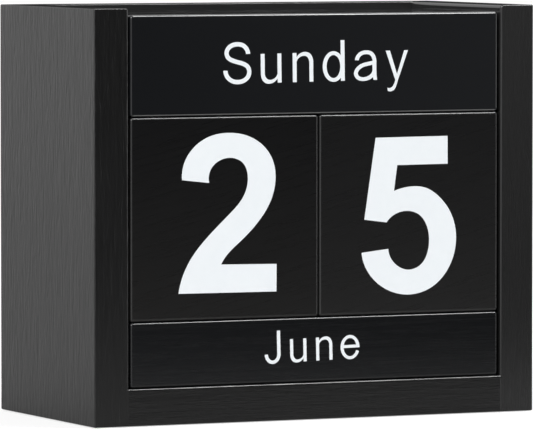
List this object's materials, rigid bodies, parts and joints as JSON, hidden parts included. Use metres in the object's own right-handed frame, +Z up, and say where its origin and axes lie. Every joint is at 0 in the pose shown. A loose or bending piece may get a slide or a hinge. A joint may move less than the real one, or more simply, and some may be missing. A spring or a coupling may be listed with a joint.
{
  "type": "perpetual desk calendar",
  "caption": "Open black wooden box holding loose printed blocks: day cubes under weekday bars and over month bars, turned by hand to show any date.",
  "frame": {"origin": "middle of the underside of the box, on the surface it stands on", "axes": "+X to the reader's right along the bars, +Y away from the reader towards the back panel, +Z up"},
  "size_m": [0.1202, 0.06, 0.1023],
  "materials": {
    "frame_wood": "satin black paint over fine grain",
    "block_wood": "satin black paint",
    "dowel_wood": "bare hardwood",
    "white_print": "flat white ink"
  },
  "bodies": {
    "frame": {"left_side_board": "frame_wood", "right_side_board": "frame_wood", "base_board": "frame_wood", "back_panel": "frame_wood", "base_dowels": "dowel_wood", "back_panel_dowels": "dowel_wood"},
    "left_cube": {"left_day_cube": "block_wood", "left_day_numerals": "white_print"},
    "right_cube": {"right_day_cube": "block_wood", "right_day_numerals": "white_print"},
    "front_weekday": {"front_weekday_bar": "block_wood", "front_weekday_words": "white_print"},
    "rear_weekday": {"rear_weekday_bar": "block_wood", "rear_weekday_words": "white_print"},
    "rear_month": {"rear_month_bar": "block_wood", "rear_month_words": "white_print"},
    "middle_month": {"middle_month_bar": "block_wood", "middle_month_words": "white_print"},
    "front_month": {"front_month_bar": "block_wood", "front_month_words": "white_print"}
  },
  "joints": [
    {"name": "left_cube_slide", "type": "slide", "parent": "frame", "child": "left_cube", "axis": [0, -1, 0], "range_m": [0, 0.06]},
    {"name": "right_cube_slide", "type": "slide", "parent": "frame", "child": "right_cube", "axis": [0, -1, 0], "range_m": [0, 0.06]},
    {"name": "front_weekday_slide", "type": "slide", "parent": "frame", "child": "front_weekday", "axis": [0, -1, 0], "range_m": [0, 0.04]},
    {"name": "rear_weekday_lift", "type": "slide", "parent": "frame", "child": "rear_weekday", "axis": [0, 0, 1], "range_m": [0, 0.04]},
    {"name": "rear_month_slide", "type": "slide", "parent": "frame", "child": "rear_month", "axis": [0, -1, 0], "range_m": [0, 0.06]},
    {"name": "middle_month_slide", "type": "slide", "parent": "rear_month", "child": "middle_month", "axis": [0, -1, 0], "range_m": [0, 0.045]},
    {"name": "front_month_slide", "type": "slide", "parent": "middle_month", "child": "front_month", "axis": [0, -1, 0], "range_m": [0, 0.03]}
  ]
}
